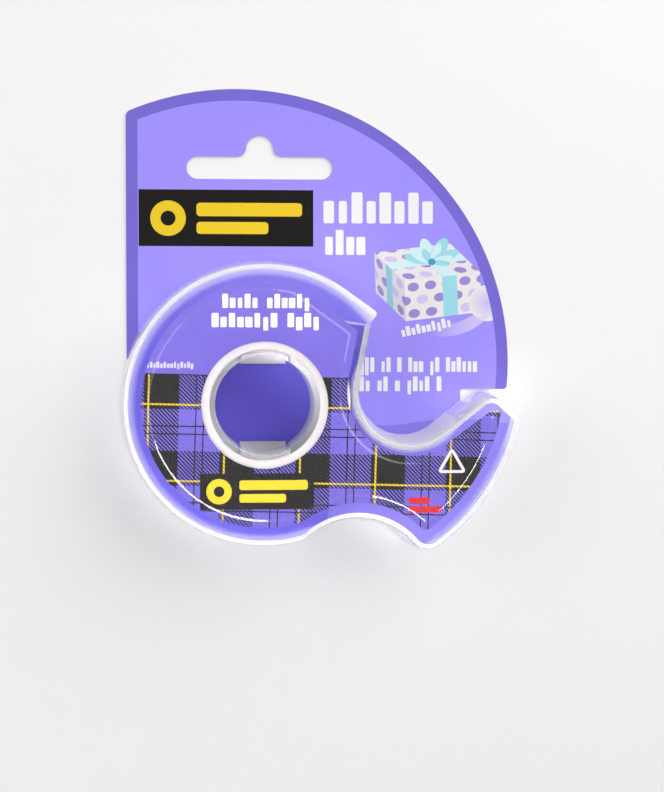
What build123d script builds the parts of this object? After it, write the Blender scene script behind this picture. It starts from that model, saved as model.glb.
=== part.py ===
from build123d import *
import os
from math import acos, atan2, cos, degrees, hypot, radians, sin, sqrt

# Hand-held tape dispenser pack, lying on the back of its hang card.
# Millimetres. +Z points away from the card, towards the clear front plate.
# The Z axis is the hub's axis, and Z = 0 is the card's back.

os.makedirs("parts", exist_ok=True)

# Depths
CARD_T = 0.5
GLUE_T = 0.3
SHELL_BACK = CARD_T + GLUE_T
TAPE_W = 19.0
TAPE_BACK = 1.7
TAPE_FRONT = TAPE_BACK + TAPE_W
LABEL_T = 0.1
LABEL_GAP = 0.05
PLATE_BACK = 21.1
PLATE_T = 1.0
PLATE_FRONT = PLATE_BACK + PLATE_T
PLATE_BEVEL = 0.4
PANEL_RISE = 0.4
PANEL_SLOPE = 1.1
PANEL_FRONT = PLATE_FRONT + PANEL_RISE
MARK_RISE = 0.15

# Shell walls
WALL_T = 1.5
DRAFT_GROWTH = 1.8
CARD_GROWTH = 0.75
EXIT_GAP = 2.8
EXIT_LEAD_IN = 4.6
EXIT_LEAD_BACK = 6.5
EXIT_DROP = 2.0

# Arc centres of the shell's outline
HUB = (0.0, 0.0)
DIP_CENTRE = (26.6, -53.6)
SIDE_CENTRE = (14.75, 7.75)
THROAT_CENTRE = (41.5, 3.5)

# Fixed directions of the outline, degrees
RAMP_NORMAL = 54.3
THROAT_NORMAL = -11.0

# Radii and offsets of each outline. A negative radius is a hollow curve.
SHELL_LINE = dict(
    round_r=40.0, blend_r=5.5, dip_r=-21.4, lobe_r=5.25, side_r=59.6,
    nose_r=2.5, nose_angle=-12.9, hump=(65.0, -2.6), hump_r=4.4,
    throat_r=-15.0, edge=40.0, cap=10.9, corner_r=0.8,
)
LABEL_LINE = dict(
    round_r=34.9, blend_r=3.75, dip_r=-25.75, lobe_r=1.9, side_r=54.0,
    nose_r=1.0, nose_angle=-11.5, hump=(64.9, -4.1), hump_r=1.9,
    throat_r=-18.1, edge=32.6, cap=None, corner_r=0.0,
)
PANEL_LINE = dict(
    round_r=33.4, blend_r=3.0, dip_r=-27.2, lobe_r=2.0, side_r=52.5,
    nose_r=1.3, nose_angle=-13.5, hump=(62.9, -6.4), hump_r=2.2,
    throat_r=-19.6, edge=31.1, cap=None, corner_r=0.0,
)

# Hang card
CARD_SHIFT = 0.9
TAB_CENTRE = (-7.1, 11.7)
TAB_R = 80.4
NOTCH_X = 59.0
NOTCH_Y = 3.8
TAB_CORNER_R = 1.9
FOOT_CORNER_R = 1.1
SLOT_CENTRE = (-0.75, 69.0)
SLOT_LENGTH = 42.8
SLOT_HEIGHT = 6.5
SLOT_BUMP_R = 3.9
SLOT_BUMP_Y = 74.5
SLOT_FLARE_R = 2.75
GLUE_R = 0.7
GLUE_ANGLES = (100.0, 180.0, 250.0)
GLUE_SIDE_ANGLES = (-45.0, -22.0)

# Hub, snap fingers and roll
CORE_BORE_R = 15.88
HUB_R = 15.8
HUB_BORE_R = 14.1
HUB_BACK = 0.9
FINGER_WIDTH = 13.6
FINGER_GAP = 0.5
FINGER_OUT_R = 15.4
FINGER_IN_R = 14.0
FINGER_TOP = 21.0
FINGER_FOOT_Y = 11.45
FINGER_FOOT_T = 1.2
HOOK_R = 16.7
HOOK_T = 0.5
HOOK_WIDTH = 10.0
CORE_R = 18.4
CORE_CHAMFER = 0.3
ROLL_R = 24.3
LABEL_HOLE_R = 18.1

# Leader film
FILM_GAP = 0.1
FILM_T = 0.1
FILM_ROLL_GAP = 0.35
FILM_TAIL = 6.0

# Cutter
TOOTH_REACH = 5.1
TOOTH_ANGLE = 52.0
TOOTH_SPREAD = 38.0
TOOTH_ROOT = 0.6
TOOTH_PITCH = 1.6
TOOTH_DEPTH = 1.3
TOOTH_TOP = 21.7

# Small moulded triangle on the front panel
MARK_CENTRE = (53.4, -17.0)
MARK_R = 5.0
MARK_LINE = 0.8
MARK_CORNER_R = 0.8

NOSE_SPLIT_X = 66.5
WALL_SPLIT_ANGLE = 18.0
FAR = 200.0


def polar(centre, radius, angle):
    """Point at a radius and an angle from a centre."""
    return (
        centre[0] + radius * cos(radians(angle)),
        centre[1] + radius * sin(radians(angle)),
    )


def bearing(start, end):
    """Angle of the line from one point to another."""
    return degrees(atan2(end[1] - start[1], end[0] - start[0]))


def meeting(first, first_r, second, second_r):
    """Point at both distances, on the right of the line from first to second."""
    dx, dy = second[0] - first[0], second[1] - first[1]
    gap = hypot(dx, dy)
    along = (first_r**2 - second_r**2 + gap**2) / (2 * gap)
    off = sqrt(first_r**2 - along**2)
    return (
        first[0] + (along * dx + off * dy) / gap,
        first[1] + (along * dy - off * dx) / gap,
    )


def bridge(first, first_r, second, second_r):
    """Outward normal of the straight that joins two signed arcs smoothly."""
    gap = hypot(second[0] - first[0], second[1] - first[1])
    turn = degrees(acos((first_r - second_r) / gap))
    return (bearing(first, second) - turn) % 360


def crossing(angle_a, offset_a, angle_b, offset_b):
    """Point that lies at each offset along each direction."""
    ca, sa = cos(radians(angle_a)), sin(radians(angle_a))
    cb, sb = cos(radians(angle_b)), sin(radians(angle_b))
    det = ca * sb - sa * cb
    return ((offset_a * sb - offset_b * sa) / det, (ca * offset_b - cb * offset_a) / det)


def offset_of(point, angle):
    """Distance of a point along a direction."""
    return point[0] * cos(radians(angle)) + point[1] * sin(radians(angle))


def arc(centre, radius, start, end):
    """Arc edge between two angles, either way round."""
    return Edge.make_three_point_arc(
        polar(centre, radius, start),
        polar(centre, radius, (start + end) / 2),
        polar(centre, radius, end),
    )


def closed_face(edges, height):
    """Upward face inside a ring of edges, set at a height."""
    face = Face(Wire(edges))
    if face.normal_at().Z < 0:
        face = -face
    return Pos(0, 0, height) * face


def growth(height):
    """How far the drafted shell stands outside its front outline."""
    return DRAFT_GROWTH * (PLATE_FRONT - height) / (PLATE_FRONT - SHELL_BACK)


def throat_edge(grow, throat_r):
    """Offset of the straight upper part of the throat."""
    return offset_of(THROAT_CENTRE, THROAT_NORMAL) + throat_r + grow


def end_edges(grow, line, sharp, throat_end, start):
    """Edges from the throat's straight, round the wall end, back to the round part."""
    edge = line["edge"] + grow
    upright = throat_edge(grow, line["throat_r"])
    cap_normal = RAMP_NORMAL - 90
    if line["cap"] is None:
        tip = crossing(THROAT_NORMAL, upright, RAMP_NORMAL, edge)
        return [Edge.make_line(throat_end, tip), Edge.make_line(tip, start)]
    cap = line["cap"] + grow
    inner = crossing(THROAT_NORMAL, upright, cap_normal, cap)
    if sharp:
        outer = crossing(cap_normal, cap, RAMP_NORMAL, edge)
        points = [throat_end, inner, outer, start]
        return [Edge.make_line(a, b) for a, b in zip(points, points[1:])]
    radius = line["corner_r"] + grow
    centre = crossing(cap_normal, cap - radius, RAMP_NORMAL, edge - radius)
    first, last = polar(centre, radius, cap_normal), polar(centre, radius, RAMP_NORMAL)
    return [
        Edge.make_line(throat_end, inner),
        Edge.make_line(inner, first),
        arc(centre, radius, cap_normal, RAMP_NORMAL),
        Edge.make_line(last, start),
    ]


def snail(grow, height, line=SHELL_LINE, sharp=False):
    """Face of the dispenser's outline, grown outwards, at a height."""
    rim, blend, lobe = (line[k] + grow for k in ("round_r", "blend_r", "lobe_r"))
    side, nose, hump = (line[k] + grow for k in ("side_r", "nose_r", "hump_r"))
    dip, throat = (line[k] + grow for k in ("dip_r", "throat_r"))
    hump_at = line["hump"]

    blend_at = meeting(HUB, rim - blend, DIP_CENTRE, blend - dip)
    lobe_at = meeting(DIP_CENTRE, lobe - dip, SIDE_CENTRE, side - lobe)
    nose_at = polar(SIDE_CENTRE, side - nose, line["nose_angle"])

    edge_start = RAMP_NORMAL + degrees(acos(min(1.0, (line["edge"] + grow) / rim)))
    leave_round = bearing(HUB, blend_at)
    into_dip = bearing(blend_at, DIP_CENTRE)
    out_of_dip = bearing(DIP_CENTRE, lobe_at)
    onto_side = bearing(SIDE_CENTRE, lobe_at)
    nose_end = bridge(nose_at, nose, hump_at, hump)
    hump_end = bridge(hump_at, hump, THROAT_CENTRE, throat)

    start = polar(HUB, rim, edge_start)
    throat_end = polar(THROAT_CENTRE, -throat, THROAT_NORMAL - 180)
    edges = [
        arc(HUB, rim, edge_start, leave_round + 360),
        arc(blend_at, blend, leave_round, into_dip),
        arc(DIP_CENTRE, -dip, into_dip + 180, out_of_dip),
        arc(lobe_at, lobe, out_of_dip - 180, onto_side),
        arc(SIDE_CENTRE, side, onto_side, line["nose_angle"]),
        arc(nose_at, nose, line["nose_angle"], nose_end),
        Edge.make_line(polar(nose_at, nose, nose_end), polar(hump_at, hump, nose_end)),
        arc(hump_at, hump, nose_end, hump_end),
        Edge.make_line(
            polar(hump_at, hump, hump_end), polar(THROAT_CENTRE, -throat, hump_end - 180)
        ),
        arc(THROAT_CENTRE, -throat, hump_end - 180, THROAT_NORMAL - 180),
    ]
    return closed_face(edges + end_edges(grow, line, sharp, throat_end, start), height)


def between(lower, upper):
    """Straight-sided solid from one face to another."""
    return Solid.make_loft([lower.outer_wire(), upper.outer_wire()], True)


def drafted(low, high, inset=0.0, sharp=False):
    """Solid that follows the shell's drafted outline between two heights."""
    return between(
        snail(growth(low) - inset, low, sharp=sharp),
        snail(growth(high) - inset, high, sharp=sharp),
    )


def beyond(angle, distance):
    """Block that holds everything further than a distance along a direction."""
    return Rot(0, 0, angle) * Pos(distance + FAR / 2, 0, 0) * Box(FAR, 2 * FAR, FAR)


def ring(outer_r, inner_r, low, high):
    """Plain tube about the hub's axis."""
    span = high - low
    tube = Cylinder(outer_r, span) - Cylinder(inner_r, span + 1)
    return Pos(0, 0, (low + high) / 2) * tube


def exit_corner(grow, lift=0.0):
    """Top corner of the throat wall, where the film turns."""
    shelf = SHELL_LINE["edge"] - WALL_T - EXIT_GAP + grow + lift
    upright = throat_edge(grow + lift, SHELL_LINE["throat_r"])
    return crossing(THROAT_NORMAL, upright, RAMP_NORMAL, shelf)


def exit_face(height):
    """Opening between the wall's free end and the throat wall."""
    grow = growth(height)
    cap_normal = RAMP_NORMAL - 90
    under = SHELL_LINE["edge"] - WALL_T + grow
    corner = exit_corner(grow)
    shelf, across = offset_of(corner, RAMP_NORMAL), offset_of(corner, cap_normal)
    upright = throat_edge(grow, SHELL_LINE["throat_r"])
    back = across - EXIT_LEAD_BACK
    out = across + 2 * EXIT_LEAD_BACK
    points = [
        crossing(cap_normal, back, RAMP_NORMAL, under),
        crossing(cap_normal, back, RAMP_NORMAL, shelf - EXIT_LEAD_IN),
        corner,
        crossing(THROAT_NORMAL, upright, RAMP_NORMAL, shelf - EXIT_DROP),
        crossing(cap_normal, out, RAMP_NORMAL, shelf - EXIT_DROP),
        crossing(cap_normal, out, RAMP_NORMAL, under),
    ]
    pairs = zip(points, points[1:] + points[:1])
    return closed_face([Edge.make_line(a, b) for a, b in pairs], height)


def shell_walls():
    """The drafted wall, cut into the runs that meet at flat joints."""
    wall = drafted(SHELL_BACK, PLATE_BACK)
    wall -= drafted(SHELL_BACK, PLATE_BACK, inset=WALL_T, sharp=True)
    wall -= between(exit_face(SHELL_BACK), exit_face(PLATE_BACK))
    right_side = beyond(WALL_SPLIT_ANGLE, 0)
    beak_side = (wall & right_side).solids().sort_by(Axis.Y)
    round_wall = (wall - right_side) + beak_side[-1]
    nose_side = beyond(0, NOSE_SPLIT_X)
    nose_wall = beak_side[0] & nose_side
    runs = (beak_side[0] - nose_side).solids().sort_by(Axis.Y)
    return {
        "round_wall": round_wall,
        "grip_wall": runs[0],
        "throat_wall": runs[-1],
        "nose_wall": nose_wall,
    }


def front_plate():
    """Clear front plate with a bevelled edge, a raised panel and the hub's hole."""
    step = PLATE_FRONT - PLATE_BEVEL
    plate = drafted(PLATE_BACK, step)
    plate += between(
        snail(growth(step), step), snail(growth(step) - PLATE_BEVEL, PLATE_FRONT)
    )
    plate += between(
        snail(0, PLATE_FRONT, PANEL_LINE), snail(-PANEL_SLOPE, PANEL_FRONT, PANEL_LINE)
    )
    return plate - Pos(0, 0, PLATE_FRONT) * Cylinder(HUB_BORE_R, 4)


def mould_mark():
    """Plain raised triangle outline."""
    outer = RegularPolygon(MARK_R, 3, rotation=90)
    inner = RegularPolygon(MARK_R - 2 * MARK_LINE, 3, rotation=90)
    outline = fillet(outer.vertices(), MARK_CORNER_R) - inner
    return extrude(Pos(*MARK_CENTRE, PANEL_FRONT) * outline, MARK_RISE)


def front_label():
    """Printed label just behind the front plate, with a round hole for the core."""
    top = PLATE_BACK - LABEL_GAP
    label = between(snail(0, top - LABEL_T, LABEL_LINE), snail(0, top, LABEL_LINE))
    return label - Pos(0, 0, top) * Cylinder(LABEL_HOLE_R, 2)


def hub_sleeve():
    """Tube that carries the core, with room for the two snap fingers."""
    tube = ring(HUB_R, HUB_BORE_R, HUB_BACK, PLATE_BACK)
    room = FINGER_WIDTH + 2 * FINGER_GAP
    return tube - Box(room, 4 * HUB_R, 4 * TAPE_W)


def snap_finger():
    """Springy finger at the +Y side of the hub, with a foot and an outer hook."""
    span = FINGER_TOP - HUB_BACK
    window = Pos(0, HUB_R, HUB_BACK + span / 2) * Box(FINGER_WIDTH, HUB_R * 1.6, span)
    blade = ring(FINGER_OUT_R, FINGER_IN_R, HUB_BACK, FINGER_TOP) & window
    foot_depth = FINGER_OUT_R - FINGER_FOOT_Y
    foot_box = Box(FINGER_WIDTH, foot_depth, FINGER_FOOT_T)
    foot_at = Pos(0, FINGER_FOOT_Y + foot_depth / 2, HUB_BACK + FINGER_FOOT_T / 2)
    foot = (foot_at * foot_box) & Cylinder(FINGER_IN_R + 0.2, 4 * TAPE_W)
    hook = ring(HOOK_R, FINGER_OUT_R - 0.2, HUB_BACK, HUB_BACK + HOOK_T)
    hook &= Pos(0, HUB_R, 0) * Box(HOOK_WIDTH, HUB_R * 1.6, 4 * HOOK_T + 2)
    return blade + foot + hook


def tape_core():
    """Tube that the tape is wound on, with small bevels at both mouths."""
    core = ring(CORE_R, CORE_BORE_R, TAPE_BACK, TAPE_FRONT)
    mouths = core.edges().filter_by(GeomType.CIRCLE)
    inner = mouths.filter_by(lambda e: abs(e.radius - CORE_BORE_R) < 0.01)
    return chamfer(inner, CORE_CHAMFER)


def film_face(height):
    """Cross-section of the leader film, from the roll to the throat's ramp."""
    grow = growth(height)
    hump_normal = bridge(
        SHELL_LINE["hump"], SHELL_LINE["hump_r"], THROAT_CENTRE, SHELL_LINE["throat_r"]
    )
    sides = []
    for lift in (FILM_GAP, FILM_GAP + FILM_T):
        radius = -SHELL_LINE["throat_r"] - grow - lift
        corner = exit_corner(grow, lift)
        roll_r = ROLL_R + FILM_ROLL_GAP + lift
        leave = bearing(HUB, corner) + degrees(acos(roll_r / hypot(*corner)))
        turn_in = polar(THROAT_CENTRE, radius, THROAT_NORMAL - 180)
        turn_out = polar(THROAT_CENTRE, radius, hump_normal - 180)
        tail = polar(turn_out, FILM_TAIL, hump_normal - 90)
        straight = [polar(HUB, roll_r, leave), corner, turn_in]
        bend = arc(THROAT_CENTRE, radius, THROAT_NORMAL - 180, hump_normal - 180)
        sides.append((straight, bend, turn_out, tail))
    edges = []
    for straight, bend, turn_out, tail in sides:
        edges += [Edge.make_line(a, b) for a, b in zip(straight, straight[1:])]
        edges += [bend, Edge.make_line(turn_out, tail)]
    edges.append(Edge.make_line(sides[0][3], sides[1][3]))
    edges.append(Edge.make_line(sides[0][0][0], sides[1][0][0]))
    return closed_face(edges, height)


def nose_centre():
    """Centre of the rounded nose."""
    radius = SHELL_LINE["side_r"] - SHELL_LINE["nose_r"]
    return polar(SIDE_CENTRE, radius, SHELL_LINE["nose_angle"])


def tooth_tip(height):
    """Point of the cutter's edge at a height."""
    return polar(nose_centre(), TOOTH_REACH + growth(height), TOOTH_ANGLE)


def cutter():
    """Moulded lip along the nose, with a row of saw teeth."""
    nose_at = nose_centre()
    faces = []
    for height in (SHELL_BACK, TOOTH_TOP):
        root = SHELL_LINE["nose_r"] - TOOTH_ROOT + growth(height)
        tip = tooth_tip(height)
        feet = [polar(nose_at, root, TOOTH_ANGLE + s * TOOTH_SPREAD) for s in (-1, 1)]
        points = [feet[0], tip, feet[1]]
        pairs = zip(points, points[1:] + points[:1])
        faces.append(closed_face([Edge.make_line(a, b) for a, b in pairs], height))
    lip = between(*faces)
    lip -= drafted(SHELL_BACK, PLATE_BACK)
    lip -= drafted(PLATE_BACK, TOOTH_TOP)
    count = int((TOOTH_TOP - SHELL_BACK) / TOOTH_PITCH)
    first = (TOOTH_TOP + SHELL_BACK - (count - 1) * TOOTH_PITCH) / 2
    notch = Polygon(
        (-TOOTH_DEPTH, 0), (0.3, TOOTH_PITCH * 0.5), (0.3, -TOOTH_PITCH * 0.5), align=None
    )
    for index in range(count):
        height = first + index * TOOTH_PITCH
        tip = tooth_tip(height)
        outward = polar((0, 0), 1, TOOTH_ANGLE)
        across = polar((0, 0), 1, TOOTH_ANGLE - 90)
        plane = Plane(origin=(*tip, height), x_dir=(*outward, 0), z_dir=(*across, 0))
        lip -= extrude(plane * notch, 3, both=True)
    return lip


def hang_slot():
    """Hanging slot: a long round-ended slot with a flared bump on top."""
    shape = Pos(*SLOT_CENTRE) * SlotOverall(SLOT_LENGTH, SLOT_HEIGHT)
    neck_height = SLOT_BUMP_Y - SLOT_CENTRE[1]
    neck_at = Pos(SLOT_CENTRE[0], SLOT_CENTRE[1] + neck_height / 2)
    shape += neck_at * Rectangle(2 * SLOT_BUMP_R, neck_height)
    shape += Pos(SLOT_CENTRE[0], SLOT_BUMP_Y) * Circle(SLOT_BUMP_R)
    flare_top = SLOT_CENTRE[1] + SLOT_HEIGHT / 2 + SLOT_FLARE_R
    reach = SLOT_BUMP_R + SLOT_FLARE_R
    flare = Pos(SLOT_CENTRE[0], flare_top - SLOT_FLARE_R) * Rectangle(2 * reach, 2 * SLOT_FLARE_R)
    for side in (-1, 1):
        flare -= Pos(SLOT_CENTRE[0] + side * reach, flare_top) * Circle(SLOT_FLARE_R)
    return shape + flare


def backing_card():
    """Hang card: a round-topped tab that runs on behind the whole dispenser."""
    left = CARD_SHIFT - SHELL_LINE["round_r"] - CARD_GROWTH
    reach = TAB_CENTRE[0] + 2 * TAB_R
    field = Polygon(
        (left, 0), (left, reach), (reach, reach), (reach, NOTCH_Y), (NOTCH_X, NOTCH_Y),
        (NOTCH_X, NOTCH_Y - 8), (NOTCH_X - 8, -14), (30, -22), (0, -5), align=None,
    )
    tab = field & (Pos(*TAB_CENTRE) * Circle(TAB_R))
    tops = tab.vertices().filter_by(lambda v: v.X < left + 0.1 and v.Y > 1)
    tab = fillet(tops, TAB_CORNER_R)
    feet = tab.vertices().filter_by(lambda v: v.X > NOTCH_X + 5 and v.Y < NOTCH_Y + 0.1)
    tab = fillet(feet, FOOT_CORNER_R)
    up = (0, 0, 1)
    card = extrude(tab, CARD_T, dir=up)
    card += extrude(Pos(CARD_SHIFT, 0) * snail(CARD_GROWTH, 0), CARD_T, dir=up)
    return card - extrude(hang_slot(), CARD_T, both=True)


def glue_dots():
    """Flattened dots of glue between the card and the wall's back edge."""
    mid_wall = growth(SHELL_BACK) - WALL_T / 2
    spots = [polar(HUB, SHELL_LINE["round_r"] + mid_wall, a) for a in GLUE_ANGLES]
    side = SHELL_LINE["side_r"] + mid_wall
    spots += [polar(SIDE_CENTRE, side, a) for a in GLUE_SIDE_ANGLES]
    dot = Cylinder(GLUE_R, GLUE_T)
    return [Pos(*spot, CARD_T + GLUE_T / 2) * dot for spot in spots]


def main():
    """Build every node and write it to its own file."""
    nodes = {"backing_card": backing_card()}
    for index, dot in enumerate(glue_dots(), 1):
        nodes[f"glue_dot_{index}"] = dot
    nodes.update(shell_walls())
    nodes["face_plate"] = front_plate()
    nodes["mould_mark"] = mould_mark()
    nodes["cutter_teeth"] = cutter()
    nodes["hub_sleeve"] = hub_sleeve()
    finger = snap_finger()
    nodes["snap_finger_top"] = finger
    nodes["snap_finger_bottom"] = Rot(0, 0, 180) * finger
    nodes["front_label"] = front_label()
    nodes["tape_core"] = tape_core()
    nodes["wound_tape"] = ring(ROLL_R, CORE_R, TAPE_BACK, TAPE_FRONT)
    nodes["tape_leader"] = between(film_face(TAPE_BACK), film_face(TAPE_FRONT))
    for name, solid in nodes.items():
        export_step(solid, f"parts/{name}.step")


main()
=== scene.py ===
from math import acos, atan2, cos, degrees, hypot, pi, radians, sin, sqrt

import bpy
from mathutils import Matrix, Vector


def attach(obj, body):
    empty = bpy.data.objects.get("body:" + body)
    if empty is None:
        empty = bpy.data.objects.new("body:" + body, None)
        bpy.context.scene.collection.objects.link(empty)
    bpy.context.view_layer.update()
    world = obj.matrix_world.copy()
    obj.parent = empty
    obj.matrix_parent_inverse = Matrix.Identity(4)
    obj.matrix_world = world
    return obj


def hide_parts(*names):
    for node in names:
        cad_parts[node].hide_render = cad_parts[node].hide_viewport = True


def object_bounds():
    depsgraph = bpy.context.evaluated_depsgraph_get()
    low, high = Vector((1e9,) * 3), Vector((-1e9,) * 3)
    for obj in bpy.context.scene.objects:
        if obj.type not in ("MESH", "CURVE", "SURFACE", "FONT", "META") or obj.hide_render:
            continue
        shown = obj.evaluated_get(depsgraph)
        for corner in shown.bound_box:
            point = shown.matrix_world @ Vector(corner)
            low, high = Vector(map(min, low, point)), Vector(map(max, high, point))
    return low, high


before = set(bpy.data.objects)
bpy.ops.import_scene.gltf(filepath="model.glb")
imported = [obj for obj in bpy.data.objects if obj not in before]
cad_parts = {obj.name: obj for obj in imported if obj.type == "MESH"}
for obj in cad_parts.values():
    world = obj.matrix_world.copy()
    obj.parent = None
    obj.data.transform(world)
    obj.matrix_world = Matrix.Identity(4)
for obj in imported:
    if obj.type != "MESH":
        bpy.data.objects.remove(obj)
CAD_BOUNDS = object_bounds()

# Tape dispenser pack lying on its card: clear moulded shell, printed label and card, roll and hub.
# Depths, outlines and print are in millimetres. Noise, bumps, lights and the table are in metres.

MM = 0.001

# Depths of the shell
SHELL_BACK = 0.8
PLATE_BACK = 21.1
PLATE_FRONT = 22.1
PANEL_BASE = 21.6
PANEL_FRONT = 22.5
PANEL_SLOPE = 1.1
PANEL_SOFT = 0.35
WALL_T = 1.5
DRAFT_GROWTH = 1.8
EDGE_ROUND = 0.4
BACK_ROUND = 0.12

# Outlines of the shell and its raised panel. A negative radius is a hollow curve.
HUB = (0.0, 0.0)
DIP_CENTRE = (26.6, -53.6)
SIDE_CENTRE = (14.75, 7.75)
THROAT_CENTRE = (41.5, 3.5)
RAMP_NORMAL = 54.3
THROAT_NORMAL = -11.0
SHELL_LINE = dict(
    round_r=40.0, blend_r=5.5, dip_r=-21.4, lobe_r=5.25, side_r=59.6,
    nose_r=2.5, nose_angle=-12.9, hump=(65.0, -2.6), hump_r=4.4,
    throat_r=-15.0, edge=40.0, cap=10.9, corner_r=0.8,
)
PANEL_LINE = dict(
    round_r=33.4, blend_r=3.0, dip_r=-27.2, lobe_r=2.0, side_r=52.5,
    nose_r=1.3, nose_angle=-13.5, hump=(62.9, -6.4), hump_r=2.2,
    throat_r=-19.6, edge=31.1, cap=None, corner_r=0.0,
)

# Opening for the film, and the hub tube
EXIT_GAP = 2.8
EXIT_LEAD_IN = 4.6
EXIT_LEAD_BACK = 6.5
EXIT_DROP = 2.0
HUB_R = 15.8
HUB_BORE_R = 14.1
HUB_BACK = 0.9
FINGER_ROOM = 14.6
MOUTH_ROUND = 0.25

# Nodes that the one-piece clear shell stands for
SHELL_NODES = (
    "face_plate", "round_wall", "grip_wall", "throat_wall", "nose_wall", "hub_sleeve",
)
GLUE_DOTS = 5
ROUND_STEPS = 4
LATHE_STEPS = 160
SHARP_ANGLE = radians(30)
CLEAR_IOR = 1.57
# Painted highlight: milky white on the walls' back edge and near the front plate's rim, and the rim
# band's shape
BACK_GLOW = 0.85
RIM_GLOW = 0.45
RIM_BAND = 3.6
RIM_SIDE = 24.0
RIM_LEAN = -0.3
RIM_PAST = 0.5
THROAT_SHARE = 0.7

# Card print, and painted shade on the card where the shell stands over it
CARD_LEFT = -39.85
TAB_CENTRE = (-7.1, 11.7)
TAB_R = 80.4
MARGIN = 3.4
# Radius of the painted shade on the card under the shell
SHADE_DISC_R = 38.6
THROAT_LINE = 24.6
# Wavy line in the throat below which the card has painted shade
SHADE_WAVE_Y = -6.2

# Check on the label
CHECK_PERIOD = 21.6
CHECK_TILT = -1.45
CHECK_CENTRE = (-7.5, 3.4)
BAND_HALF = 4.9
EDGE_LINE_IN = 1.3
PAIR_HALF = 1.1
TWILL_PITCH = 1.13

# Camera, millimetres
CAMERA_PLACE = (-17.2, 19.7, 511.3)
CAMERA_TARGET = (20.7, 1.8, 0.0)
CAMERA_LENS = 78.52
SENSOR_WIDTH = 36.0
NEAR_LIMIT = 10.0

# Lights: name, place, size across and up, then power in watts and tint
SOFT_LIGHTS = (
    ("key", (0.55, 0.50, 0.50), (0.90, 0.90), 6.3, (1.0, 0.985, 0.98)),
    ("fill", (-0.70, 0.15, 0.50), (0.70, 0.70), 2.3, (0.98, 0.98, 1.0)),
)
HIGHLIGHTS = (
    ("left_glint", (-0.39, -0.405, 0.56), (0.46, 0.20)),
    ("low_glint", (-0.09, -0.53, 0.57), (0.26, 0.20)),
    ("side_glint", (0.54, -0.34, 0.50), (0.26, 0.08)),
)
GLINT_POWER = 48.0  # watts for each square metre
LIGHT_TARGET = (0.01, 0.0, 0.0)

# Surroundings: colour, how steeply up they start and end to darken, and both strengths
ROOM_COLOUR = (0.985, 0.97, 0.985, 1.0)
ROOM_FADE = (0.72, 0.94)
ROOM_STRENGTH = (0.63, 0.21)

TABLE_HALF = 4.0
TABLE_DROP = 0.00005

# Colours, linear
PURPLE = (0.345, 0.285, 0.98)
# Card's printed margin, also painted shade under the shell's wall and in the throat
PURPLE_MARGIN_SHADE = (0.19, 0.15, 0.66)
# Painted shade of the card under the shell and in the hub's hole
PURPLE_SHADE = (0.155, 0.122, 0.76)
LABEL_PURPLE = (0.143, 0.107, 0.51)
LABEL_PURPLE_PALE = (0.185, 0.143, 0.61)
INK_BLACK = (0.006, 0.005, 0.004)
INK_YELLOW = (0.86, 0.61, 0.02)
INK_WHITE = (0.90, 0.90, 0.92)
INK_RED = (0.62, 0.02, 0.03)
AQUA = (0.34, 0.74, 0.82)
AQUA_PALE = (0.66, 0.88, 0.90)
AQUA_DEEP = (0.05, 0.36, 0.58)
PAPER_WHITE = (0.86, 0.84, 0.84)
BOARD = (0.78, 0.74, 0.70)
GRAIN_TINT = (0.80, 0.80, 0.84)


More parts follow.
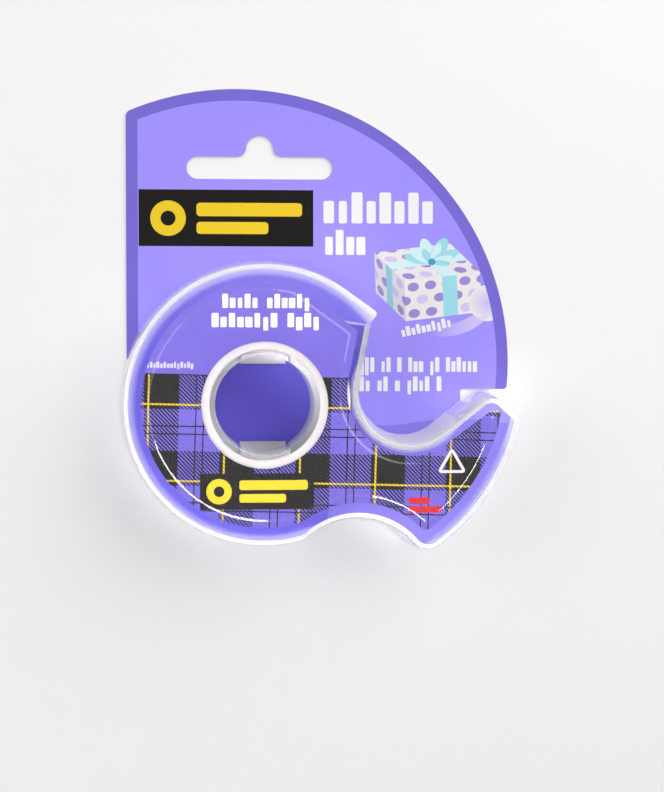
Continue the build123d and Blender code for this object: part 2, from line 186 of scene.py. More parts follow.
class Nodes:
    """Short calls that add shader nodes to one material."""

    def __init__(self, name):
        self.material = bpy.data.materials.new(name)
        self.material.use_nodes = True
        self.tree = self.material.node_tree
        self.tree.nodes.clear()

    def add(self, kind, **settings):
        node = self.tree.nodes.new(kind)
        for key, value in settings.items():
            setattr(node, key, value)
        return node

    def feed(self, socket, value):
        """Links a socket to another, or sets its plain value."""
        if isinstance(value, bpy.types.NodeSocket):
            self.tree.links.new(value, socket)
        elif socket.type == "RGBA":
            socket.default_value = (*value, 1.0)
        else:
            socket.default_value = value

    def calc(self, operation, *values):
        node = self.add("ShaderNodeMath", operation=operation)
        for socket, value in zip(node.inputs, values):
            self.feed(socket, value)
        return node.outputs[0]

    def paint(self, under, over, mask, mode="MIX"):
        """Colour with another laid over it where the mask is 1."""
        node = self.add("ShaderNodeMix", data_type="RGBA", blend_type=mode)
        self.feed(node.inputs[0], mask)
        self.feed(node.inputs[6], under)
        self.feed(node.inputs[7], over)
        return node.outputs[2]

    def ramp(self, value, low, high, out_low=0.0, out_high=1.0):
        node = self.add("ShaderNodeMapRange", clamp=True)
        for socket, number in zip(node.inputs, (value, low, high, out_low, out_high)):
            self.feed(socket, number)
        return node.outputs[0]

    def place(self):
        return self.add("ShaderNodeTexCoord").outputs["Object"]

    def axis(self, coordinate, index):
        split = self.add("ShaderNodeSeparateXYZ")
        self.feed(split.inputs[0], self.add("ShaderNodeTexCoord").outputs[coordinate])
        return split.outputs[index]

    def noise(self, scale, detail=2.0, roughness=0.5, stretch=None):
        node = self.add("ShaderNodeTexNoise")
        where = self.place()
        if stretch is not None:
            mapping = self.add("ShaderNodeMapping")
            self.feed(mapping.inputs["Vector"], where)
            mapping.inputs["Scale"].default_value = stretch
            where = mapping.outputs[0]
        self.feed(node.inputs["Vector"], where)
        node.inputs["Scale"].default_value = scale
        node.inputs["Detail"].default_value = detail
        node.inputs["Roughness"].default_value = roughness
        return node.outputs[0]

    def bump(self, height, distance, strength=1.0):
        node = self.add("ShaderNodeBump")
        self.feed(node.inputs["Height"], height)
        node.inputs["Distance"].default_value = distance
        node.inputs["Strength"].default_value = strength
        return node.outputs[0]

    def principled(self, **sockets):
        """Principled shader. Underscores in names stand for spaces."""
        node = self.add("ShaderNodeBsdfPrincipled")
        for key, value in sockets.items():
            self.feed(node.inputs[key.replace("_", " ")], value)
        return node.outputs[0]

    def mix(self, share, first, second):
        """Mix of two shaders, the second one's share from 0 to 1."""
        node = self.add("ShaderNodeMixShader")
        for socket, value in zip(node.inputs, (share, first, second)):
            self.feed(socket, value)
        return node.outputs[0]

    def finish(self, shader):
        output = self.add("ShaderNodeOutputMaterial")
        self.feed(output.inputs["Surface"], shader)
        return self.material


class Print(Nodes):
    """Flat print. Shapes are masks, 1 inside, measured in millimetres."""

    def __init__(self, name):
        super().__init__(name)
        split = self.add("ShaderNodeSeparateXYZ")
        self.feed(split.inputs[0], self.place())
        self.page = tuple(self.calc("MULTIPLY", split.outputs[k], 1 / MM) for k in (0, 1))

    def axes(self, origin, right, up):
        """Coordinates that are (0, 0) at origin, (1, 0) at right and (0, 1) at up from it."""
        x, y = self.page
        det = right[0] * up[1] - right[1] * up[0]
        rows = ((up[1] / det, -up[0] / det), (-right[1] / det, right[0] / det))
        found = []
        for a, b in rows:
            start = -(a * origin[0] + b * origin[1])
            part = self.calc("MULTIPLY_ADD", x, a, start)
            found.append(self.calc("MULTIPLY_ADD", y, b, part))
        return tuple(found)

    def turned(self, origin, angle):
        """Coordinates turned anticlockwise by an angle in degrees."""
        c, s = cos(radians(angle)), sin(radians(angle))
        return self.axes(origin, (c, s), (-s, c))

    def above(self, value, edge):
        """1 where the value is past the edge."""
        return self.calc("GREATER_THAN", value, edge)

    def below(self, value, edge):
        return self.calc("LESS_THAN", value, edge)

    def both(self, *masks):
        """1 where every mask is."""
        result = masks[0]
        for mask in masks[1:]:
            result = self.calc("MULTIPLY", result, mask)
        return result

    def either(self, *masks):
        """1 where any mask is."""
        result = masks[0]
        for mask in masks[1:]:
            result = self.calc("MAXIMUM", result, mask)
        return result

    def span(self, value, low, high):
        """1 between two values."""
        off = self.calc("ABSOLUTE", self.calc("SUBTRACT", value, (low + high) / 2))
        return self.below(off, (high - low) / 2)

    def block(self, frame_uv, low, high):
        """Upright block between two corners."""
        return self.both(
            self.span(frame_uv[0], low[0], high[0]), self.span(frame_uv[1], low[1], high[1])
        )

    def away(self, frame_uv, centre=(0.0, 0.0), squeeze=1.0):
        """Distance from a centre, with the second direction stretched by squeeze."""
        du = self.calc("SUBTRACT", frame_uv[0], centre[0])
        dv = self.calc("MULTIPLY", self.calc("SUBTRACT", frame_uv[1], centre[1]), squeeze)
        return self.calc(
            "SQRT", self.calc("ADD", self.calc("MULTIPLY", du, du), self.calc("MULTIPLY", dv, dv))
        )

    def soft_block(self, frame_uv, low, high, corner):
        """Block with round corners."""
        sides = []
        for value, a, b in zip(frame_uv, low, high):
            off = self.calc("ABSOLUTE", self.calc("SUBTRACT", value, (a + b) / 2))
            sides.append(self.calc("MAXIMUM", self.calc("SUBTRACT", off, (b - a) / 2 - corner), 0))
        return self.below(self.away(sides), corner)

    def repeat(self, value, period, shift=0.0):
        """Distance from the nearest of a row of evenly spaced lines."""
        turns = self.calc("MULTIPLY_ADD", value, 1 / period, shift / period + 0.5)
        share = self.calc("SUBTRACT", self.calc("FRACT", turns), 0.5)
        return self.calc("MULTIPLY", self.calc("ABSOLUTE", share), period)

    def cells(self, value, period):
        """Number of the cell that a value is in, and the place from its middle."""
        turns = self.calc("MULTIPLY", value, 1 / period)
        number = self.calc("FLOOR", turns)
        inside = self.calc("SUBTRACT", self.calc("SUBTRACT", turns, number), 0.5)
        return number, self.calc("MULTIPLY", inside, period)

    def chance(self, number, seed):
        """Random value from 0 to 1 that belongs to a whole number."""
        node = self.add("ShaderNodeTexWhiteNoise", noise_dimensions="1D")
        self.feed(node.inputs["W"], self.calc("ADD", number, seed))
        return node.outputs[0]

    def greeked(self, frame_uv, words, height, pitch, seed):
        """A line of blank blocks that stands for words, with blocks of several sizes."""
        number, inside = self.cells(frame_uv[0], pitch)
        tall = self.above(self.chance(number, seed), 0.6)
        low = self.above(self.chance(number, seed + 0.37), 0.85)
        narrow = self.chance(number, seed + 0.71)
        top = self.calc("MULTIPLY_ADD", tall, height * 0.28, height * 0.72)
        bottom = self.calc("MULTIPLY", low, height * -0.22)
        half_up = self.calc("MULTIPLY", self.calc("SUBTRACT", top, bottom), 0.5)
        middle = self.calc("MULTIPLY", self.calc("ADD", top, bottom), 0.5)
        half_across = self.calc("MULTIPLY_ADD", narrow, pitch * -0.16, pitch * 0.44)
        corner = pitch * 0.14
        sides = []
        for value, half in (
            (inside, half_across), (self.calc("SUBTRACT", frame_uv[1], middle), half_up)
        ):
            past = self.calc("SUBTRACT", self.calc("ABSOLUTE", value), half)
            sides.append(self.calc("MAXIMUM", self.calc("ADD", past, corner), 0))
        letters = self.below(self.away(sides), corner)
        spans = [
            self.span(frame_uv[0], first * pitch, last * pitch) for first, last in words
        ]
        return self.both(letters, self.either(*spans))

    def emblem(self, corner, height, length):
        """Plain mark: a roll, then two bars. It stands where a name would be."""
        uv = self.turned(corner, 0)
        radius = height / 2
        off = self.away(uv, (radius, radius))
        roll = self.both(self.below(off, radius), self.above(off, radius * 0.42))
        start = height * 1.3
        bars = [
            self.soft_block(
                uv, (start, height * low), (start + share * (length - start), height * high),
                height * 0.1,
            )
            for low, high, share in ((0.56, 0.94, 1.0), (0.06, 0.40, 0.68))
        ]
        return self.either(roll, *bars)


def rim_glow_mask(n):
    """Painted highlight: milky front plate by the round edge, the beak's side and the throat."""
    split = n.add("ShaderNodeSeparateXYZ")
    n.feed(split.inputs[0], n.place())
    x, y, z = (n.calc("MULTIPLY", split.outputs[k], 1 / MM) for k in (0, 1, 2))

    def distance(centre):
        dx, dy = n.calc("SUBTRACT", x, centre[0]), n.calc("SUBTRACT", y, centre[1])
        return n.calc("SQRT", n.calc("ADD", n.calc("MULTIPLY", dx, dx), n.calc("MULTIPLY", dy, dy)))

    round_part = n.calc("LESS_THAN", n.calc("MULTIPLY_ADD", y, RIM_LEAN, x), RIM_SIDE)
    rim_r, side_r = SHELL_LINE["round_r"], SHELL_LINE["side_r"]
    rim = n.ramp(distance(HUB), rim_r - RIM_BAND, rim_r + RIM_PAST, 0.0, RIM_GLOW)
    rim = n.calc("MULTIPLY", rim, round_part)
    side = n.ramp(distance(SIDE_CENTRE), side_r - RIM_BAND, side_r + RIM_PAST, 0.0, RIM_GLOW)
    throat_r = -SHELL_LINE["throat_r"]
    throat_end = throat_r + RIM_BAND * THROAT_SHARE
    throat = n.ramp(distance(THROAT_CENTRE), throat_r, throat_end, RIM_GLOW, 0.0)
    front = n.ramp(z, PLATE_BACK - 1.0, PLATE_BACK + 0.4)
    return n.calc("MULTIPLY", n.calc("MAXIMUM", n.calc("MAXIMUM", rim, side), throat), front)


def clear_plastic(name, haze, side_haze, rough, glowing_rim=False):
    """Clear moulded polystyrene: faint flow waves, hair scratches and finger haze.

    Drafted walls are cloudier than the polished front: partly real, partly painted highlight.
    The back edge, and the rim by the front plate's edge when asked, are milky painted highlight.
    """
    n = Nodes(name)
    wave = n.noise(90.0, 1.0)
    scratch = n.noise(420.0, 3.0, 0.6, stretch=(1.0, 9.0, 1.0))
    height = n.calc("MULTIPLY_ADD", scratch, 0.05, wave)
    smear = n.ramp(n.noise(140.0, 4.0), 0.35, 0.75, rough, rough + 0.05)
    normal = n.bump(height, 0.000003)
    glass = n.principled(
        Base_Color=(0.985, 0.985, 1.0), Roughness=smear, IOR=CLEAR_IOR,
        Transmission_Weight=1.0, Normal=normal,
    )
    milk = n.principled(Base_Color=(0.97, 0.965, 0.98), Roughness=0.4, Normal=normal)
    facing = n.calc("ABSOLUTE", n.axis("Normal", 2))
    # Sideways faces are cloudier: partly the plastic's own cloudiness, partly painted highlight for
    # light carried along the walls
    side = n.ramp(facing, 0.25, 0.97, side_haze, haze)
    # Painted highlight: milky white on the walls' back edge
    back = n.ramp(n.axis("Object", 2), 0.0009, 0.0012, BACK_GLOW, 0.0)
    cloudy = n.calc("MAXIMUM", side, back)
    # Painted highlight: milky white near the front plate's rim
    if glowing_rim:
        cloudy = n.calc("MAXIMUM", cloudy, rim_glow_mask(n))
    lamp_side = n.add("ShaderNodeBsdfTransparent")
    lamp_side.inputs["Color"].default_value = (0.975, 0.975, 0.985, 1.0)
    shadow = n.add("ShaderNodeLightPath").outputs["Is Shadow Ray"]
    return n.finish(n.mix(shadow, n.mix(cloudy, glass, milk), lamp_side.outputs[0]))


def milky_core():
    """Cloudy white tube with a fine grain."""
    n = Nodes("milky_core")
    cloud = n.noise(260.0, 4.0, 0.6)
    colour = n.paint((0.62, 0.585, 0.58), (0.70, 0.66, 0.65), cloud)
    return n.finish(n.principled(
        Base_Color=colour, Roughness=n.ramp(cloud, 0.3, 0.7, 0.28, 0.42), IOR=1.5,
        Subsurface_Weight=0.35, Subsurface_Scale=0.002,
        Normal=n.bump(n.noise(1800.0, 2.0), 0.00002),
    ))


def radius_of(n):
    """Distance from the hub's axis, in metres."""
    split = n.add("ShaderNodeSeparateXYZ")
    n.feed(split.inputs[0], n.place())
    x, y = split.outputs[0], split.outputs[1]
    return n.calc("SQRT", n.calc("ADD", n.calc("MULTIPLY", x, x), n.calc("MULTIPLY", y, y)))


def satin_roll():
    """Wound film: fine rings of turns, lighter and darker at random."""
    n = Nodes("satin_roll")
    radius = radius_of(n)
    turns = n.add("ShaderNodeTexNoise", noise_dimensions="1D")
    n.feed(turns.inputs["W"], n.calc("MULTIPLY", radius, 6000.0))
    turns.inputs["Scale"].default_value = 1.0
    turns.inputs["Detail"].default_value = 3.0
    rings = turns.outputs[0]
    colour = n.paint((0.62, 0.60, 0.58), (0.86, 0.85, 0.84), n.ramp(rings, 0.3, 0.7))
    return n.finish(n.principled(
        Base_Color=colour, Roughness=n.ramp(rings, 0.3, 0.7, 0.38, 0.55),
        Subsurface_Weight=0.3, Subsurface_Scale=0.0015, Normal=n.bump(rings, 0.00006),
    ))


def satin_film():
    """Single turn of frosted film: mostly see-through, with a faint grain."""
    n = Nodes("satin_film")
    grain = n.noise(2400.0, 3.0, 0.6)
    colour = n.paint((0.82, 0.82, 0.83), (0.95, 0.95, 0.95), grain)
    return n.finish(n.principled(
        Base_Color=colour, Roughness=n.ramp(grain, 0.3, 0.7, 0.30, 0.45), Alpha=0.32,
        Normal=n.bump(grain, 0.00001),
    ))


def glue():
    """Dried clear glue."""
    n = Nodes("glue")
    cloud = n.noise(900.0, 3.0)
    return n.finish(n.principled(
        Base_Color=n.paint((0.60, 0.56, 0.62), (0.74, 0.70, 0.70), cloud), Roughness=0.3,
        Alpha=0.3, Normal=n.bump(cloud, 0.00005),
    ))


def gift_face(p, picture, origin, right, up, dots, seed, shade):
    """One side of the wrapped box: pale paper with staggered dots in three purples."""
    uv = p.axes(origin, right, up)
    across, down = dots
    row, v = p.cells(uv[1], 1 / down)
    odd = p.calc("MULTIPLY", p.calc("PINGPONG", row, 1.0), 0.5 / across)
    column, u = p.cells(p.calc("ADD", uv[0], odd), 1 / across)
    near = p.away((p.calc("MULTIPLY", u, across), p.calc("MULTIPLY", v, down)))
    tone = p.chance(p.calc("MULTIPLY_ADD", row, 7.3, column), seed)
    dot = p.paint((0.68, 0.60, 0.88), (0.36, 0.27, 0.66), p.above(tone, 0.5))
    paper = p.paint((0.86, 0.84, 0.83), dot, p.below(near, 0.33))
    paper = p.paint(paper, (0.30, 0.25, 0.50), shade)
    return p.paint(picture, paper, p.block(uv, (0, 0), (1, 1))), uv


def gift_picture(p, under):
    """Small picture of a wrapped gift: three dotted sides, an aqua ribbon and its bow."""
    near, left, low_near = (42.2, 35.8), (33.2, 44.3), (42.7, 24.0)
    right = (64.9, 38.6)
    side = (right[0] - near[0], right[1] - near[1])
    back = (left[0] - near[0], left[1] - near[1])
    drop = (low_near[0] - near[0], low_near[1] - near[1])
    pic, top = gift_face(p, under, near, side, back, (4.4, 3.4), 3.0, 0.05)
    pic, flank = gift_face(p, pic, near, back, drop, (3.0, 3.0), 11.0, 0.30)
    pic, front = gift_face(p, pic, near, side, drop, (4.4, 3.0), 5.0, 0.0)
    for uv, low, high, tint in (
        (front, (0.50, 0), (0.69, 1), AQUA),
        (top, (0.50, 0), (0.69, 1), AQUA_PALE),
        (top, (0, 0.42), (1, 0.62), AQUA_PALE),
        (flank, (0.42, 0), (0.62, 1), (0.28, 0.56, 0.66)),
    ):
        pic = p.paint(pic, tint, p.block(uv, low, high))
    knot = (50.4, 41.6)
    loops = (
        (168, 8.4, 0.34, AQUA), (150, 7.6, 0.42, AQUA_PALE), (112, 7.4, 0.50, AQUA_PALE),
        (128, 4.6, 0.5, AQUA), (58, 8.2, 0.46, AQUA), (66, 6.0, 0.40, AQUA_PALE),
        (22, 8.6, 0.36, AQUA), (14, 6.4, 0.30, AQUA_PALE), (-6, 5.6, 0.30, AQUA),
    )
    for angle, length, width, tint in loops:
        uv = p.turned(knot, angle)
        loop = p.below(p.away(uv, (length / 2, 0.0), 1 / width), length / 2)
        pic = p.paint(pic, tint, loop)
    uv = p.turned(knot, 0)
    return p.paint(pic, AQUA_DEEP, p.below(p.away(uv, squeeze=1.1), 1.1))


def card_art(p):
    """Front print of the hang card, and painted shade where the shell stands over it."""
    mottle = p.noise(60.0, 4.0)
    field = p.paint(PURPLE, (0.375, 0.315, 0.99), mottle)
    art = gift_picture(p, field)
    page = p.page

    disc = p.away(page, (67.0, 29.4))
    pale = p.ramp(disc, 0.0, 5.4)
    art = p.paint(art, p.paint((0.62, 0.52, 0.90), PAPER_WHITE, pale), p.below(disc, 5.4))
    bend = p.away(page, (53.6, 38.6))
    swoosh = p.both(
        p.span(bend, 15.6, 19.2), p.below(page[1], 25.6), p.above(page[0], 49.5)
    )
    fade = p.calc("MULTIPLY", swoosh, p.ramp(page[0], 49.5, 62.0, 0.0, 0.7))
    art = p.paint(art, (0.74, 0.66, 0.92), fade)

    panel = p.block(page, (-36.2, 46.0), (15.1, 62.6))
    art = p.paint(art, INK_BLACK, panel)
    art = p.paint(art, INK_YELLOW, p.emblem((-32.8, 49.0), 10.4, 44.6))

    for origin, turn, words, height, pitch, seed in (
        ((17.6, 52.9), 0, ((0, 8),), 9.2, 4.2, 4.0),
        ((18.2, 43.6), 0, ((0, 4),), 7.4, 3.15, 9.0),
        ((41.4, 19.2), 12.0, ((0, 10),), 2.9, 1.55, 7.0),
        ((28.6, 8.9), 0, ((0, 3), (4, 6), (7, 8), (9, 12), (13, 15), (16, 22)), 4.4, 1.62, 1.0),
        ((28.6, 3.2), 0, ((0, 2), (3, 5), (6, 7), (8, 12), (13, 14)), 4.4, 1.78, 6.0),
    ):
        art = p.paint(art, INK_WHITE, p.greeked(p.turned(origin, turn), words, height, pitch, seed))

    # Darker band along the card's edge: printed margin, and painted shade where the shell's wall
    # covers it
    rim = p.above(p.away(page, TAB_CENTRE), TAB_R - MARGIN)
    edge = p.either(p.below(page[0], CARD_LEFT + MARGIN), p.both(rim, p.above(page[1], 3.0)))
    # Painted shade on the card below a wavy line in the throat, at 0.6 strength
    wave = p.calc("MULTIPLY", p.calc("SINE", p.calc("MULTIPLY", page[0], 0.21)), 0.8)
    lower = p.below(p.calc("ADD", page[1], wave), SHADE_WAVE_Y)
    art = p.paint(art, PURPLE_MARGIN_SHADE, p.calc("MAXIMUM", edge, p.calc("MULTIPLY", lower, 0.6)))
    # Painted shade on the card under the shell and in the hub's hole, lighter towards the top
    across = p.turned((0.0, 0.0), THROAT_NORMAL)[0]
    shell_shade = p.both(p.below(p.away(page), SHADE_DISC_R), p.below(across, THROAT_LINE))
    shade_colour = p.paint(PURPLE_SHADE, PURPLE, p.ramp(page[1], 12.0, 40.0, 0.0, 0.75))
    return p.paint(art, shade_colour, shell_shade)


def facing_up(n):
    """1 on faces that look along +Z."""
    return n.calc("GREATER_THAN", n.axis("Normal", 2), 0.5)


def hang_card_print():
    """Satin printed board, with a bare pale cut edge and a plain pale back."""
    p = Print("hang_card_print")
    grain = p.noise(1500.0, 3.0, 0.6)
    board = p.paint(BOARD, (0.88, 0.86, 0.83), grain)
    art = p.paint(card_art(p), GRAIN_TINT, p.calc("MULTIPLY", grain, 0.30), "MULTIPLY")
    colour = p.paint(board, art, facing_up(p))
    return p.finish(p.principled(
        Base_Color=colour, Roughness=p.ramp(grain, 0.3, 0.7, 0.34, 0.46), IOR=1.33,
        Normal=p.bump(grain, 0.000012),
    ))


def label_art(p):
    """Front print of the label: a plain field above, and a woven check below."""
    mottle = p.noise(60.0, 4.0)
    field = p.paint(LABEL_PURPLE, LABEL_PURPLE_PALE, mottle)
    warp, weft = p.turned(CHECK_CENTRE, CHECK_TILT)
    twill = p.below(p.repeat(p.calc("ADD", warp, weft), TWILL_PITCH), TWILL_PITCH * 0.26)
    bands = [p.below(p.repeat(value, CHECK_PERIOD), BAND_HALF) for value in (warp, weft)]
    one = p.either(*bands)
    two = p.both(*bands)
    check = p.paint(field, INK_BLACK, p.either(two, p.both(one, twill)))
    worn = p.calc("MULTIPLY_ADD", twill, -0.55, 1.0)
    for value in (warp, weft):
        for side in (-1, 1):
            thin = p.below(p.repeat(value, CHECK_PERIOD, CHECK_PERIOD / 2 + side * PAIR_HALF), 0.17)
            check = p.paint(check, INK_BLACK, thin)
        stitch = p.below(p.repeat(value, CHECK_PERIOD, BAND_HALF - EDGE_LINE_IN), 0.27)
        check = p.paint(check, INK_YELLOW, p.both(stitch, worn))
    border = p.turned((-38.0, 9.1), CHECK_TILT)
    lower = p.below(border[1], 0.0)
    line = p.span(border[1], -0.15, 0.15)
    art = p.paint(field, check, lower)
    art = p.paint(art, INK_BLACK, line)

    for origin, words, pitch, seed in (
        ((-12.2, 27.5), ((0, 5), (6, 12)), 2.1, 3.0),
        ((-15.2, 22.1), ((0, 8), (9, 13)), 2.38, 8.0),
    ):
        art = p.paint(art, INK_WHITE, p.greeked(p.turned(origin, 0), words, 4.0, pitch, seed))
    small = p.greeked(p.turned((-33.4, 10.6), 0), ((0, 14),), 1.7, 0.95, 5.0)
    art = p.paint(art, (0.62, 0.58, 0.90), small)
    patch = p.block(p.turned((-18.4, -29.6), 0), (0.0, 0.0), (32.4, 10.2))
    art = p.paint(art, INK_BLACK, patch)
    art = p.paint(art, INK_YELLOW, p.emblem((-16.6, -28.1), 7.2, 28.8))
    red = p.soft_block(p.turned((41.2, -30.9), 0), (0.0, 0.0), (9.2, 1.9), 0.5)
    over = p.soft_block(p.turned((41.2, -28.4), 0), (0.0, 0.0), (6.0, 1.9), 0.5)
    return p.paint(art, INK_RED, p.either(red, over))


def label_print():
    """Glossy printed film, white on its back."""
    p = Print("label_print")
    grain = p.noise(1500.0, 3.0, 0.6)
    art = p.paint(label_art(p), GRAIN_TINT, p.calc("MULTIPLY", grain, 0.30), "MULTIPLY")
    colour = p.paint((0.84, 0.84, 0.86), art, facing_up(p))
    return p.finish(p.principled(
        Base_Color=colour, Roughness=p.ramp(grain, 0.3, 0.7, 0.25, 0.35), IOR=1.33,
        Normal=p.bump(grain, 0.00001),
    ))


def table_top():
    """Plain white table with the faintest unevenness."""
    n = Nodes("table_top")
    cloud = n.noise(6.0, 3.0)
    return n.finish(n.principled(
        Base_Color=n.paint((0.885, 0.88, 0.88), (0.915, 0.905, 0.91), cloud),
        Roughness=0.6, Normal=n.bump(n.noise(700.0, 4.0), 0.00002),
    ))


def polar(centre, radius, angle):
    turn = radians(angle)
    return centre[0] + radius * cos(turn), centre[1] + radius * sin(turn)


def bearing(start, end):
    return degrees(atan2(end[1] - start[1], end[0] - start[0]))


def meeting(first, first_r, second, second_r):
    """Point at both distances, on the right of the line from first to second."""
    dx, dy = second[0] - first[0], second[1] - first[1]
    gap = hypot(dx, dy)
    along = (first_r**2 - second_r**2 + gap**2) / (2 * gap)
    off = sqrt(first_r**2 - along**2)
    return (
        first[0] + (along * dx + off * dy) / gap,
        first[1] + (along * dy - off * dx) / gap,
    )


def bridge(first, first_r, second, second_r):
    """Outward normal of the straight that joins two signed arcs smoothly."""
    gap = hypot(second[0] - first[0], second[1] - first[1])
    return (bearing(first, second) - degrees(acos((first_r - second_r) / gap))) % 360


def crossing(angle_a, offset_a, angle_b, offset_b):
    """Point that lies at each offset along each direction."""
    ca, sa = cos(radians(angle_a)), sin(radians(angle_a))
    cb, sb = cos(radians(angle_b)), sin(radians(angle_b))
    det = ca * sb - sa * cb
    return (offset_a * sb - offset_b * sa) / det, (ca * offset_b - cb * offset_a) / det


def offset_of(point, angle):
    return point[0] * cos(radians(angle)) + point[1] * sin(radians(angle))


def arc_points(centre, radius, start, end, steps):
    """Points along an arc, both ends included."""
    return [polar(centre, radius, start + (end - start) * i / steps) for i in range(steps + 1)]


def growth(height):
    """How far the drafted shell stands outside its front outline."""
    return DRAFT_GROWTH * (PLATE_FRONT - height) / (PLATE_FRONT - SHELL_BACK)


def upright_edge(line, grow):
    return offset_of(THROAT_CENTRE, THROAT_NORMAL) + line["throat_r"] + grow


def free_end(line, grow, sharp):
    """Corner points where the throat's straight turns to the round part's end."""
    edge, upright = line["edge"] + grow, upright_edge(line, grow)
    if line["cap"] is None:
        return [crossing(THROAT_NORMAL, upright, RAMP_NORMAL, edge)]
    cap, cap_normal = line["cap"] + grow, RAMP_NORMAL - 90
    inner = crossing(THROAT_NORMAL, upright, cap_normal, cap)
    if sharp:
        return [inner, crossing(cap_normal, cap, RAMP_NORMAL, edge)]
    radius = line["corner_r"] + grow
    centre = crossing(cap_normal, cap - radius, RAMP_NORMAL, edge - radius)
    return [inner] + arc_points(centre, radius, cap_normal, RAMP_NORMAL, 6)


def outline(line, grow, sharp=False):
    """Points round the dispenser, anticlockwise, grown outwards.

    One line gives as many points whatever its growth, so that rings can be joined.
    """
    rim, blend, lobe = (line[k] + grow for k in ("round_r", "blend_r", "lobe_r"))
    side, nose, hump = (line[k] + grow for k in ("side_r", "nose_r", "hump_r"))
    dip, throat = (line[k] + grow for k in ("dip_r", "throat_r"))
    hump_at = line["hump"]
    blend_at = meeting(HUB, rim - blend, DIP_CENTRE, blend - dip)
    lobe_at = meeting(DIP_CENTRE, lobe - dip, SIDE_CENTRE, side - lobe)
    nose_at = polar(SIDE_CENTRE, side - nose, line["nose_angle"])
    leave_round = bearing(HUB, blend_at)
    onto_side = bearing(SIDE_CENTRE, lobe_at)
    nose_end = bridge(nose_at, nose, hump_at, hump)
    hump_end = bridge(hump_at, hump, THROAT_CENTRE, throat)
    start = RAMP_NORMAL + degrees(acos(min(1.0, (line["edge"] + grow) / rim)))
    runs = (
        (HUB, rim, start, leave_round + 360, 150),
        (blend_at, blend, leave_round, bearing(blend_at, DIP_CENTRE), 14),
        (DIP_CENTRE, -dip, bearing(blend_at, DIP_CENTRE) + 180,
         bearing(DIP_CENTRE, lobe_at), 36),
        (lobe_at, lobe, bearing(DIP_CENTRE, lobe_at) - 180, onto_side, 24),
        (SIDE_CENTRE, side, onto_side, line["nose_angle"], 44),
        (nose_at, nose, line["nose_angle"], nose_end, 12),
        (hump_at, hump, nose_end, hump_end, 16),
        (THROAT_CENTRE, -throat, hump_end - 180, THROAT_NORMAL - 180, 60),
    )
    points = []
    for run in runs:
        fresh = arc_points(*run)
        if points and hypot(points[-1][0] - fresh[0][0], points[-1][1] - fresh[0][1]) < 0.001:
            fresh = fresh[1:]
        points += fresh
    return points + free_end(line, grow, sharp)


def stack(name, loops):
    """Closed solid from rings of points, lowest first, in millimetres."""
    count = len(loops[0])
    corners = [Vector(point) * MM for loop in loops for point in loop]
    faces = [tuple(reversed(range(count)))]
    for level in range(len(loops) - 1):
        low, high = level * count, (level + 1) * count
        for i in range(count):
            j = (i + 1) % count
            faces.append((low + i, low + j, high + j, high + i))
    faces.append(tuple(range(len(corners) - count, len(corners))))
    mesh = bpy.data.meshes.new(name)
    mesh.from_pydata(corners, [], faces)
    solid = bpy.data.objects.new(name, mesh)
    bpy.context.scene.collection.objects.link(solid)
    return solid


def raised(points, height):
    return [(x, y, height) for x, y in points]


def rounding(size):
    """Steps over a rounded edge: how far in, and how far short of the top."""
    turns = [pi / 2 * i / ROUND_STEPS for i in range(ROUND_STEPS + 1)]
    return [(size * (1 - cos(turn)), size * (1 - sin(turn))) for turn in turns]


def outer_solid():
    """The shell's full outside, filled in, with round front and back edges."""
    loops = []
    for inset, short in reversed(rounding(BACK_ROUND)):
        height = SHELL_BACK + short
        loops.append(raised(outline(SHELL_LINE, growth(height) - inset), height))
    for inset, short in rounding(EDGE_ROUND):
        height = PLATE_FRONT - short
        loops.append(raised(outline(SHELL_LINE, growth(height) - inset), height))
    return stack("outer", loops)


def panel_solid():
    """Raised front panel with a long slope at its edge and a soft shoulder."""
    rise = PANEL_FRONT - PLATE_FRONT
    steps = (
        (0.0, PANEL_BASE),
        (0.0, PLATE_FRONT),
        (PANEL_SLOPE - PANEL_SOFT, PANEL_FRONT - 0.24 * rise),
        (PANEL_SLOPE - PANEL_SOFT / 2, PANEL_FRONT - 0.07 * rise),
        (PANEL_SLOPE, PANEL_FRONT),
    )
    loops = [raised(outline(PANEL_LINE, -inset), height) for inset, height in steps]
    return stack("panel", loops)


def cavity_solid():
    """Space inside the walls."""
    below = SHELL_BACK - 1.0
    loops = [
        raised(outline(SHELL_LINE, growth(height) - WALL_T, sharp=True), height)
        for height in (below, PLATE_BACK)
    ]
    return stack("cavity", loops)


def exit_solid():
    """Opening between the round wall's free end and the throat wall."""
    loops = []
    cap_normal = RAMP_NORMAL - 90
    for height in (SHELL_BACK - 1.0, PLATE_BACK):
        grow = growth(height)
        under = SHELL_LINE["edge"] - WALL_T + grow
        shelf = under - EXIT_GAP
        upright = upright_edge(SHELL_LINE, grow)
        corner = crossing(THROAT_NORMAL, upright, RAMP_NORMAL, shelf)
        across = offset_of(corner, cap_normal)
        back, out = across - EXIT_LEAD_BACK, across + 2 * EXIT_LEAD_BACK
        points = [
            crossing(cap_normal, back, RAMP_NORMAL, under),
            crossing(cap_normal, back, RAMP_NORMAL, shelf - EXIT_LEAD_IN),
            corner,
            crossing(THROAT_NORMAL, upright, RAMP_NORMAL, shelf - EXIT_DROP),
            crossing(cap_normal, out, RAMP_NORMAL, shelf - EXIT_DROP),
            crossing(cap_normal, out, RAMP_NORMAL, under),
        ]
        loops.append(raised(points, height))
    return stack("exit", loops)


def lathe(name, profile):
    """Closed solid turned about the hub's axis from (radius, height) pairs, lowest first."""
    loops = [
        [(*polar(HUB, radius, 360 * i / LATHE_STEPS), height) for i in range(LATHE_STEPS)]
        for radius, height in profile
    ]
    return stack(name, loops)


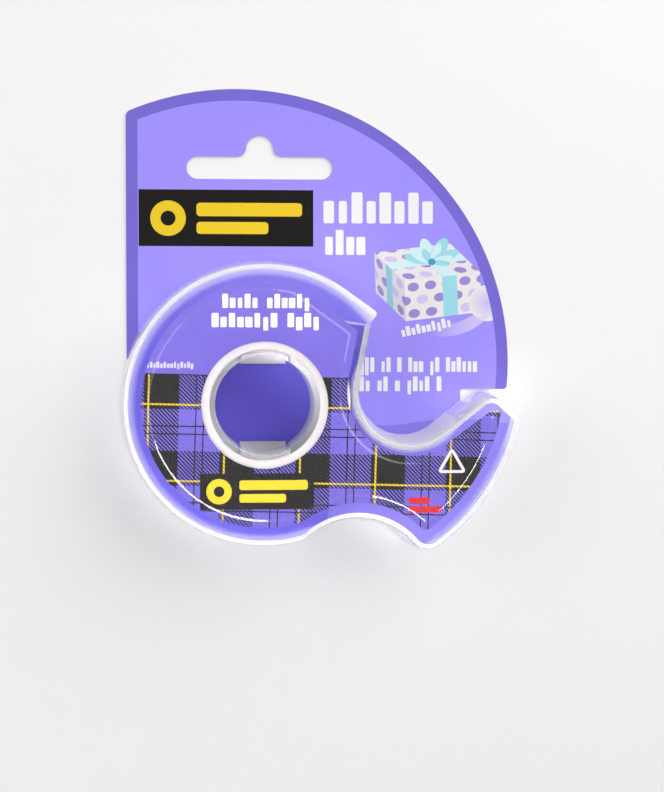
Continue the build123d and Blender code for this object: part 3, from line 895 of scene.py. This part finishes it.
def slab(name, low, high):
    """Plain box between two corners."""
    ring = [(low[0], low[1]), (high[0], low[1]), (high[0], high[1]), (low[0], high[1])]
    return stack(name, [raised(ring, low[2]), raised(ring, high[2])])


def combine(base, other, operation):
    """Base with another solid added, or cut away. The other one is used up."""
    step = base.modifiers.new(operation, "BOOLEAN")
    step.operation = operation
    step.solver = "EXACT"
    step.object = other
    bpy.context.view_layer.update()
    seen = base.evaluated_get(bpy.context.evaluated_depsgraph_get())
    mesh = bpy.data.meshes.new_from_object(seen)
    base.modifiers.clear()
    base.data = mesh
    bpy.data.objects.remove(other)
    return base


def hub_tube():
    """Filled tube of the hub, split by the room for the two snap fingers."""
    tube = lathe("tube", [(HUB_R, HUB_BACK), (HUB_R, PANEL_BASE)])
    reach = 2 * HUB_R
    room = slab(
        "room", (-FINGER_ROOM / 2, -reach, -1.0), (FINGER_ROOM / 2, reach, PLATE_BACK)
    )
    return combine(tube, room, "DIFFERENCE")


def clear_shell(material):
    """The one clear moulding: plate, raised panel, drafted walls and split hub tube."""
    shell = outer_solid()
    combine(shell, panel_solid(), "UNION")
    combine(shell, cavity_solid(), "DIFFERENCE")
    combine(shell, exit_solid(), "DIFFERENCE")
    combine(shell, hub_tube(), "UNION")
    mouth = [
        (HUB_BORE_R + inset, PANEL_FRONT - short)
        for inset, short in ((0.0, MOUTH_ROUND), (MOUTH_ROUND * 0.3, MOUTH_ROUND * 0.3),
                             (MOUTH_ROUND, 0.0))
    ]
    bore = lathe("bore", [(HUB_BORE_R, -1.0)] + mouth + [(HUB_BORE_R + MOUTH_ROUND, 24.0)])
    combine(shell, bore, "DIFFERENCE")
    shell.name = "clear_shell"
    mesh = shell.data
    mesh.materials.clear()
    mesh.materials.append(material)
    mesh.shade_smooth()
    mesh.set_sharp_from_angle(angle=SHARP_ANGLE)
    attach(shell, "shell")
    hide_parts(*SHELL_NODES)


def dress(names, material):
    """Gives one material to the named CAD nodes."""
    for name in names:
        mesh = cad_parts[name].data
        mesh.materials.clear()
        mesh.materials.append(material)


def table(material):
    """Large flat top just under the card."""
    mesh = bpy.data.meshes.new("table")
    corners = [
        (across * TABLE_HALF, up * TABLE_HALF, 0)
        for across, up in ((-1, -1), (1, -1), (1, 1), (-1, 1))
    ]
    mesh.from_pydata(corners, [], [(0, 1, 2, 3)])
    mesh.materials.append(material)
    top = bpy.data.objects.new("table", mesh)
    top.location.z = CAD_BOUNDS[0][2] - TABLE_DROP
    bpy.context.scene.collection.objects.link(top)


def area_light(name, place, size, power, tint=(1, 1, 1)):
    """Soft light aimed at the pack. Its size is across, then up."""
    lamp = bpy.data.lights.new(name, "AREA")
    lamp.shape = "RECTANGLE"
    lamp.size, lamp.size_y = size
    lamp.energy = power
    lamp.color = tint
    light = bpy.data.objects.new(name, lamp)
    light.location = place
    aim = Vector(LIGHT_TARGET) - Vector(place)
    light.rotation_euler = aim.to_track_quat("-Z", "Y").to_euler()
    bpy.context.scene.collection.objects.link(light)
    return light


def lights():
    """Two soft lights, and three that show only as highlights along the plate's raised edges."""
    for name, place, size, power, tint in SOFT_LIGHTS:
        area_light(name, place, size, power, tint)
    for name, place, size in HIGHLIGHTS:
        light = area_light(name, place, size, GLINT_POWER * size[0] * size[1])
        light.visible_diffuse = False
        light.visible_transmission = False


def studio():
    """White surroundings that darken straight above, where the room's ceiling would be."""
    world = bpy.data.worlds.new("studio")
    bpy.context.scene.world = world
    world.use_nodes = True
    nodes, links = world.node_tree.nodes, world.node_tree.links
    split = nodes.new("ShaderNodeSeparateXYZ")
    links.new(nodes.new("ShaderNodeTexCoord").outputs["Generated"], split.inputs[0])
    fade = nodes.new("ShaderNodeMapRange")
    fade.interpolation_type = "SMOOTHSTEP"
    for socket, number in zip(fade.inputs, (0.0, *ROOM_FADE, *ROOM_STRENGTH)):
        socket.default_value = number
    links.new(split.outputs["Z"], fade.inputs[0])
    back = nodes["Background"]
    back.inputs["Color"].default_value = ROOM_COLOUR
    links.new(fade.outputs[0], back.inputs["Strength"])


def camera():
    """Camera above the pack, looking almost straight down."""
    place = Vector(CAMERA_PLACE) * MM
    target = Vector(CAMERA_TARGET) * MM
    look = (target - place).normalized()
    right = look.cross(Vector((0, 1, 0))).normalized()
    up = right.cross(look)
    data = bpy.data.cameras.new("camera")
    data.lens = CAMERA_LENS
    data.sensor_width = SENSOR_WIDTH
    data.clip_start = NEAR_LIMIT * MM
    eye = bpy.data.objects.new("camera", data)
    turn = Matrix((right, up, -look)).transposed()
    eye.matrix_world = Matrix.Translation(place) @ turn.to_4x4()
    bpy.context.scene.collection.objects.link(eye)
    bpy.context.scene.camera = eye


def main():
    clear = clear_plastic("clear_plastic", haze=0.004, side_haze=0.2, rough=0.015, glowing_rim=True)
    clear_shell(clear)
    dress(("cutter_teeth",), clear)
    mark = clear_plastic("mark_plastic", haze=0.9, side_haze=0.9, rough=0.3)
    dress(("mould_mark",), mark)
    frosted = clear_plastic("frosted_plastic", haze=0.14, side_haze=0.22, rough=0.08)
    dress(("snap_finger_top", "snap_finger_bottom"), frosted)
    dress(("backing_card",), hang_card_print())
    dress([f"glue_dot_{i}" for i in range(1, GLUE_DOTS + 1)], glue())
    dress(("front_label",), label_print())
    dress(("tape_core",), milky_core())
    dress(("wound_tape",), satin_roll())
    dress(("tape_leader",), satin_film())
    table(table_top())
    lights()
    studio()
    camera()
    bpy.context.scene.view_settings.view_transform = "Standard"


main()
